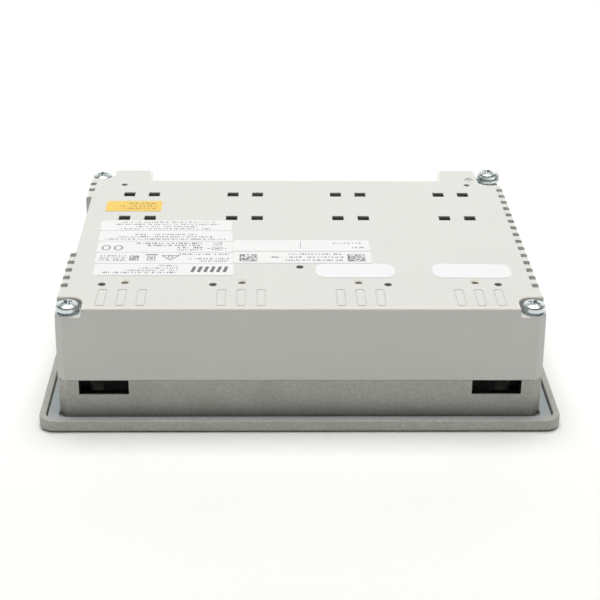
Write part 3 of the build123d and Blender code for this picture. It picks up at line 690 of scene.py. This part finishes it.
class Print:
    """Collects thin raised shapes of ink on one label level and makes one piece of them."""

    def __init__(self, name, label_top, seed):
        self.name, self.z, self.bm = name, label_top + LIFT, bmesh.new()
        self.dice = random.Random(seed)

    def bar(self, x0, x1, y0, y1):
        """A filled rectangle."""
        add_box(self.bm, x0, x1, y0, y1, self.z, self.z + INK_T)

    def ring(self, x, y, rx, ry, line, segments=28):
        """A closed oval line."""
        rows = []
        for z in (self.z, self.z + INK_T):
            for shrink in (0.0, line):
                rows.append([self.bm.verts.new((x + (rx - shrink) * math.cos(2 * math.pi * k / segments),
                                                y + (ry - shrink) * math.sin(2 * math.pi * k / segments), z))
                             for k in range(segments)])
        outer_low, inner_low, outer_high, inner_high = rows
        for k in range(segments):
            after = (k + 1) % segments
            for a, b in ((outer_high, inner_high), (inner_low, outer_low), (outer_low, outer_high),
                         (inner_high, inner_low)):
                self.bm.faces.new((a[k], a[after], b[after], b[k]))

    def frame(self, x0, x1, y0, y1, line):
        """The outline of a rectangle."""
        self.bar(x0, x1, y0, y0 + line)
        self.bar(x0, x1, y1 - line, y1)
        self.bar(x0, x0 + line, y0 + line, y1 - line)
        self.bar(x1 - line, x1, y0 + line, y1 - line)

    def stroke(self, a, b, line):
        """A straight line between two points."""
        a, b = Vector(a), Vector(b)
        along = (b - a).normalized() * line / 2
        side = Vector((-along.y, along.x))
        low = [self.bm.verts.new((p.x, p.y, self.z)) for p in (a - side, b - side, b + side, a + side)]
        high = [self.bm.verts.new((v.co.x, v.co.y, self.z + INK_T)) for v in low]
        self.bm.faces.new(low[::-1])
        self.bm.faces.new(high)
        for k in range(4):
            after = (k + 1) % 4
            self.bm.faces.new((low[k], low[after], high[after], high[k]))

    def line(self, x0, x1, y, height, weight=0.26):
        """A line of meaningless marks from x0 to x1, grouped like words."""
        x, width = x0, height * MARK_ASPECT
        while x < x1 - width:
            for _ in range(self.dice.randint(4, 10)):
                if x > x1 - width:
                    break
                self.mark(x, y, width * 0.8, height, weight)
                x += width
            x += width * 0.7

    def mark(self, x, y, width, height, weight):
        """One made-up mark: three straight strokes on a small grid."""
        w = weight * height
        for kind in self.dice.sample(range(5), 3):
            if kind == 0:
                self.bar(x, x + w, y, y + height)
            elif kind == 1:
                self.bar(x + width - w, x + width, y, y + height * self.dice.choice((0.6, 1.0)))
            else:
                level = y + (height - w) * (kind - 2) / 2
                self.bar(x + w, x + width - w, level, level + w)

    def code(self, x, y, size_x, size_y, cells):
        """A block of seeded cells with a solid left and lower edge, and dotted other edges."""
        cx, cy = size_x / cells, size_y / cells
        for i in range(cells):
            for j in range(cells):
                edge = i == 0 or j == 0
                clock = (i == cells - 1 and j % 2 == 0) or (j == cells - 1 and i % 2 == 0)
                if edge or clock or (i < cells - 1 and j < cells - 1 and self.dice.random() < 0.5):
                    self.bar(x + i * cx, x + (i + 1) * cx, y + j * cy, y + (j + 1) * cy)

    def make(self, ink):
        """Makes the piece, which rides on the cover."""
        return to_object(self.name, self.bm, ink, "cover", smooth=False)


# strips of the rating label: how many, from one to the next, and how far each slips to the right
STRIPS, STRIP_PITCH, STRIP_SLIP = 5, 10.15, 0.37


def rating_print():
    """Greeked lines and plain signs on the stack of rating strips."""
    low, high = (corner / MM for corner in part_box("rating_labels"))
    strip_top = [high.y - STRIP_PITCH * k for k in range(STRIPS)]
    left = [low.x + STRIP_SLIP * k for k in range(STRIPS)]
    pale = Print("rating_print_pale", high.z, 11)
    dark = Print("rating_print_dark", high.z, 12)
    # first strip: four centred lines
    for k, (a, b) in enumerate(((7.5, 45.0), (6.0, 46.5), (14.0, 38.5), (8.0, 43.5))):
        pale.line(left[0] + a, left[0] + b, strip_top[0] - 2.4 - 2.15 * k, 1.15)
    # second strip: three lines
    for k, (a, b) in enumerate(((13.5, 38.0), (7.5, 44.0), (2.5, 49.0))):
        pale.line(left[1] + a, left[1] + b, strip_top[1] - 4.2 - 2.2 * k, 1.2)
    # third strip: two plain rings, a bold block, an oval seal
    for x in (3.4, 8.0):
        dark.ring(left[2] + x, strip_top[2] - 6.0, 1.7, 2.3, 0.5)
    for k, a in enumerate((14.5, 19.0, 30.0, 30.0)):
        dark.line(left[2] + a, left[2] + 40.0, strip_top[2] - 2.4 - 2.0 * k, 1.25)
    dark.ring(left[2] + 45.4, strip_top[2] - 6.6, 2.1, 1.7, 0.28)
    dark.bar(left[2] + 44.4, left[2] + 46.4, strip_top[2] - 7.0, strip_top[2] - 6.4)
    dark.bar(left[2] + 41.6, left[2] + 42.6, strip_top[2] - 6.9, strip_top[2] - 6.4)
    dark.bar(left[2] + 48.2, left[2] + 48.8, strip_top[2] - 6.9, strip_top[2] - 6.4)
    for k in range(2):
        dark.line(left[2] + 43.6, left[2] + 47.6, strip_top[2] - 1.9 - 1.4 * k, 0.9, 0.24)
    # fourth strip: pale lines, a hatched square, a bar over a box, an open triangle, lines
    for k in range(3):
        pale.line(left[3] + 1.6, left[3] + 11.8, strip_top[3] - 3.7 - 1.9 * k, 1.15)
    x, y = left[3] + 12.6, strip_top[3] - 7.2
    dark.frame(x, x + 3.4, y, y + 4.2, 0.4)
    for k in range(4):
        dark.stroke((x + 0.5 + 0.5 * k, y + 0.5), (x + 1.5 + 0.5 * k, y + 3.7), 0.3)
    x = left[3] + 18.4
    dark.bar(x, x + 4.6, y + 4.6, y + 5.4)
    dark.frame(x + 0.8, x + 3.8, y, y + 3.9, 0.32)
    dark.bar(x + 1.6, x + 3.0, y + 1.4, y + 2.6)
    x = left[3] + 24.6
    for a, b in (((0, 4.4), (6.4, 4.4)), ((6.4, 4.4), (3.2, 0.4)), ((3.2, 0.4), (0, 4.4))):
        dark.stroke((x + a[0], y + a[1]), (x + b[0], y + b[1]), 0.42)
    dark.ring(x + 3.2, y + 3.1, 1.0, 1.0, 0.3)
    pale.line(left[3] + 31.0, left[3] + 50.0, strip_top[3] - 2.2, 1.1)
    pale.line(left[3] + 34.5, left[3] + 50.0, strip_top[3] - 6.2, 1.2)
    dark.line(left[3] + 38.5, left[3] + 50.0, strip_top[3] - 8.3, 1.2, 0.22)
    # fifth strip: address-like lines and a plain mark of slanted bars
    for k, (a, height) in enumerate(((23.5, 1.0), (16.5, 1.0), (12.0, 1.05), (2.5, 1.25))):
        ink = dark if k == 3 else pale
        ink.line(left[4] + a, left[4] + 31.0, strip_top[4] - 2.2 - 2.0 * k, height)
    for k in range(6):
        x = left[4] + 36.0 + 2.35 * k
        dark.stroke((x, strip_top[4] - 7.2), (x + 0.9, strip_top[4] - 2.4), 1.25)
    pale.make(PALE_INK)
    dark.make(INK)


def serial_print():
    """Greeked lines and two seeded code blocks on the serial strips."""
    low, high = (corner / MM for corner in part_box("serial_labels"))
    ink = Print("serial_print", high.z, 23)
    pale = Print("serial_print_pale", high.z, 24)
    pale.line(low.x + 38.0, low.x + 49.5, high.y - 3.4, 1.2)
    ink.line(low.x + 45.2, low.x + 50.0, high.y - 7.4, 1.2, 0.22)
    pale.bar(low.x + 25.4, low.x + 25.6, high.y - 8.0, high.y - 1.2)
    for x in (2.6, 43.0):
        ink.code(low.x + x, low.y + 1.5, 6.6, 6.4, CODE_CELLS)
    for k, (a, b) in enumerate(((21.0, 41.6), (14.5, 41.6), (19.5, 42.0))):
        pale.line(low.x + a, low.x + b, low.y + 7.3 - 2.7 * k, 1.25)
    ink.make(INK)
    pale.make(PALE_INK)


def seal_print():
    """Three short greeked lines on the seal."""
    low, high = (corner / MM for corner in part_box("seal_label"))
    ink = Print("seal_print", high.z, 31)
    for k, a in enumerate((9.0, 5.0, 7.5)):
        ink.line(low.x + a, high.x - 1.2, high.y - 3.4 - 2.6 * k, 1.5)
    ink.make(SEAL_INK)


rating_print()
serial_print()
seal_print()


# ------------------------------------------------------------------ small parts on the board
CHIP_LONG, CHIP_SHORT, CHIP_STEP = 1.6, 0.8, 1.5
CHIP_TALL = {"dark": 0.45, "pale": 0.8}
ROW_TRIES, ROW_LENGTH, ROW_WIDTH = 260, (2, 5), 2.4
ROW_MARGIN, BOARD_MARGIN, BOARD_EDGE = 0.8, 4.0, 2.0
END_OUT, END_IN, END_STEP = 0.25, 0.15, 1.7      # an end cap out of and into its chip, and cap to cap
SKIN = 0.02                             # an end cap's thickness round its chip
LEG_PITCH, LEG_HALF, LEG_OUT, LEG_IN = 0.8, 0.17, 0.9, 0.05
LEG_LOW, LEG_HIGH = 0.01, 0.18


def islands(node):
    """The footprint of each separate solid of a node, as (x0, x1, y0, y1, z0, z1) in millimetres."""
    mesh = NODES[node].data
    parent = list(range(len(mesh.vertices)))

    def root(i):
        """The first vertex of the solid that this vertex belongs to."""
        while parent[i] != i:
            parent[i] = parent[parent[i]]
            i = parent[i]
        return i

    places = {}
    for v in mesh.vertices:
        key = tuple(round(c, 6) for c in v.co)
        parent[root(v.index)] = root(places.setdefault(key, v.index))
    for edge in mesh.edges:
        parent[root(edge.vertices[0])] = root(edge.vertices[1])
    groups = {}
    for v in mesh.vertices:
        groups.setdefault(root(v.index), []).append(v.co / MM)
    return [(min(p.x for p in g), max(p.x for p in g), min(p.y for p in g), max(p.y for p in g),
             min(p.z for p in g), max(p.z for p in g)) for g in groups.values()]


def overlap(a, b):
    """Whether two footprints, as (x0, x1, y0, y1), cover each other."""
    return a[0] < b[1] and b[0] < a[1] and a[2] < b[3] and b[2] < a[3]


def board_passives():
    """Chip resistors and capacitors scattered in short rows between the larger parts."""
    low, high = (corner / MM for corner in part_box("main_board"))
    taken = []
    for node, body in BODY_OF.items():
        if body == "base" and node not in ("front_frame", "main_board"):
            taken += [i for i in islands(node) if i[5] > high.z + 0.2 and i[4] < high.z + 3.0]
    dice = random.Random(7)
    bodies, ends = {"dark": bmesh.new(), "pale": bmesh.new()}, bmesh.new()
    placed = []
    for _ in range(ROW_TRIES):
        x = dice.uniform(low.x + BOARD_MARGIN, high.x - BOARD_MARGIN)
        y = dice.uniform(low.y + BOARD_MARGIN, high.y - BOARD_MARGIN)
        upright, kind = dice.random() < 0.5, dice.choice(("dark", "pale"))
        count = dice.randint(*ROW_LENGTH)
        step = (CHIP_STEP, 0.0) if upright else (0.0, CHIP_STEP)
        width, depth = (CHIP_STEP * count, ROW_WIDTH) if upright else (ROW_WIDTH, CHIP_STEP * count)
        spot = (x - ROW_MARGIN, x + width + ROW_MARGIN, y - ROW_MARGIN, y + depth + ROW_MARGIN)
        if spot[1] > high.x - BOARD_EDGE or spot[3] > high.y - BOARD_EDGE:
            continue
        if any(overlap(spot, other) for other in taken + placed):
            continue
        placed.append(spot)
        for k in range(count):
            cx, cy = x + step[0] * k, y + step[1] * k
            long_x, long_y = (CHIP_SHORT, CHIP_LONG) if upright else (CHIP_LONG, CHIP_SHORT)
            tall = CHIP_TALL[kind]
            add_box(bodies[kind], cx + SKIN, cx + long_x - SKIN, cy + SKIN, cy + long_y - SKIN,
                    high.z, high.z + tall)
            for end in (0, 1):
                start, stop = end * END_STEP - END_OUT, end * END_STEP + END_IN
                if upright:
                    span = (cx, cx + long_x, cy + start, cy + stop)
                else:
                    span = (cx + start, cx + stop, cy, cy + long_y)
                add_box(ends, *span, high.z, high.z + tall + SKIN)
    to_object("chip_resistors", bodies["dark"], LOOKS["black_resin"], "base", smooth=False)
    to_object("chip_capacitors", bodies["pale"], resin_look("ceramic_tan", (0.42, 0.27, 0.14)), "base",
              smooth=False)
    to_object("chip_terminations", ends, LOOKS["tinned"], "base", smooth=False)


def chip_legs():
    """Gull-wing legs round the logic and memory chips."""
    bm = bmesh.new()
    board = top_of("main_board")
    for node, side_count in (("logic_chips", 4), ("memory_chips", 2)):
        for x0, x1, y0, y1, *_ in islands(node):
            for side in range(side_count):
                low, high = (x0, x1) if side in (0, 1) else (y0, y1)
                count = int((high - low - 1.0) / LEG_PITCH)
                start = (low + high) / 2 - (count - 1) * LEG_PITCH / 2
                for k in range(count):
                    a, b = start + k * LEG_PITCH - LEG_HALF, start + k * LEG_PITCH + LEG_HALF
                    out = ((a, b, y0 - LEG_OUT, y0 + LEG_IN), (a, b, y1 - LEG_IN, y1 + LEG_OUT),
                           (x0 - LEG_OUT, x0 + LEG_IN, a, b), (x1 - LEG_IN, x1 + LEG_OUT, a, b))[side]
                    add_box(bm, *out, board + LEG_LOW, board + LEG_HIGH)
    to_object("chip_legs", bm, LOOKS["tinned"], "base", smooth=False)


board_passives()
chip_legs()


# ------------------------------------------------------------------ stage, light and camera
FLOOR_SIZE, FLOOR_GAP = 3.2, 0.0002     # metres
# the room's brightness, from its floor and horizon up to its ceiling
ROOM = ((0.0, 1.0), (0.06, 0.95), (0.2, 0.3), (0.3, 0.12), (0.7, 0.1), (1.0, 0.2))


def stage():
    """A plain pale floor just under the object."""
    bpy.ops.mesh.primitive_plane_add(size=FLOOR_SIZE, location=(0, 0, -FLOOR_GAP))
    floor = bpy.context.object
    floor.name = "studio_floor"
    look = Look("pale_floor", (0.915, 0.912, 0.89), 0.75)
    look.tint(look.band(look.noise(300.0, 2.0), 0.3, 0.7, 0.0, 0.1), (0.895, 0.892, 0.87))
    floor.data.materials.append(look.done())


def soft_box(name, at, aim, size, power):
    """An area light in metres and watts that the camera does not see."""
    data = bpy.data.lights.new(name, "AREA")
    data.shape, data.size, data.size_y, data.energy = "RECTANGLE", size[0], size[1], power
    light = bpy.data.objects.new(name, data)
    light.location = at
    light.rotation_mode = "QUATERNION"
    light.rotation_quaternion = (Vector(aim) - Vector(at)).to_track_quat("-Z", "Y")
    light.visible_camera = False
    bpy.context.scene.collection.objects.link(light)


def surroundings():
    """A studio with a white horizon and a duller room above it, so that metal has something to mirror."""
    world = bpy.data.worlds.new("studio")
    bpy.context.scene.world = world
    world.use_nodes = True
    nodes, links = world.node_tree.nodes, world.node_tree.links
    coords = nodes.new("ShaderNodeTexCoord")
    split = nodes.new("ShaderNodeSeparateXYZ")
    ramp = nodes.new("ShaderNodeValToRGB")
    links.new(coords.outputs["Generated"], split.inputs[0])
    links.new(split.outputs["Z"], ramp.inputs["Fac"])
    stops = ramp.color_ramp.elements
    for stop, (position, grey) in zip(stops, (ROOM[0], ROOM[-1])):
        stop.position, stop.color = position, (grey, grey, grey, 1)
    for position, grey in ROOM[1:-1]:
        stops.new(position).color = (grey, grey, grey, 1)
    # the object is lit by that room, while the backdrop behind it stays plain white
    path, plain = nodes.new("ShaderNodeLightPath"), nodes.new("ShaderNodeMix")
    plain.data_type = "RGBA"
    plain.inputs["B"].default_value = (1.0, 1.0, 1.0, 1.0)
    links.new(path.outputs["Is Camera Ray"], plain.inputs["Factor"])
    links.new(ramp.outputs["Color"], plain.inputs["A"])
    links.new(plain.outputs["Result"], nodes["Background"].inputs["Color"])


CAMERA_AT = (-11.5, -518.4, 272.6)      # millimetres
CAMERA_YAW, CAMERA_PITCH, CAMERA_ROLL = 1.38, 26.31, 0.63
LENS_MM, SENSOR_MM = 87.3, 36.0


def camera():
    """The camera, turned by its yaw from +Y, its pitch downwards and its roll."""
    yaw, pitch, roll = (math.radians(a) for a in (CAMERA_YAW, CAMERA_PITCH, CAMERA_ROLL))
    ahead = Vector((math.sin(yaw) * math.cos(pitch), math.cos(yaw) * math.cos(pitch), -math.sin(pitch)))
    right = Vector((math.cos(yaw), -math.sin(yaw), 0.0))
    up = right.cross(ahead)
    across = right * math.cos(roll) + up * math.sin(roll)
    upward = up * math.cos(roll) - right * math.sin(roll)
    data = bpy.data.cameras.new("camera")
    data.lens, data.sensor_width = LENS_MM, SENSOR_MM
    data.clip_start, data.clip_end = 0.01, 50.0
    view = bpy.data.objects.new("camera", data)
    facing = Matrix((across, upward, -ahead)).transposed().to_4x4()
    view.matrix_world = Matrix.Translation(Vector(CAMERA_AT) * MM) @ facing
    bpy.context.scene.collection.objects.link(view)
    bpy.context.scene.camera = view


stage()
surroundings()
soft_box("overhead", (0.0, 0.17, 1.5), (0.0, 0.0, 0.0), (1.1, 1.0), 24.0)
soft_box("behind", (0.0, 1.7, 0.75), (0.0, 0.0, 0.05), (3.2, 1.3), 11.0)
camera()
bpy.context.scene.view_settings.view_transform = "Standard"
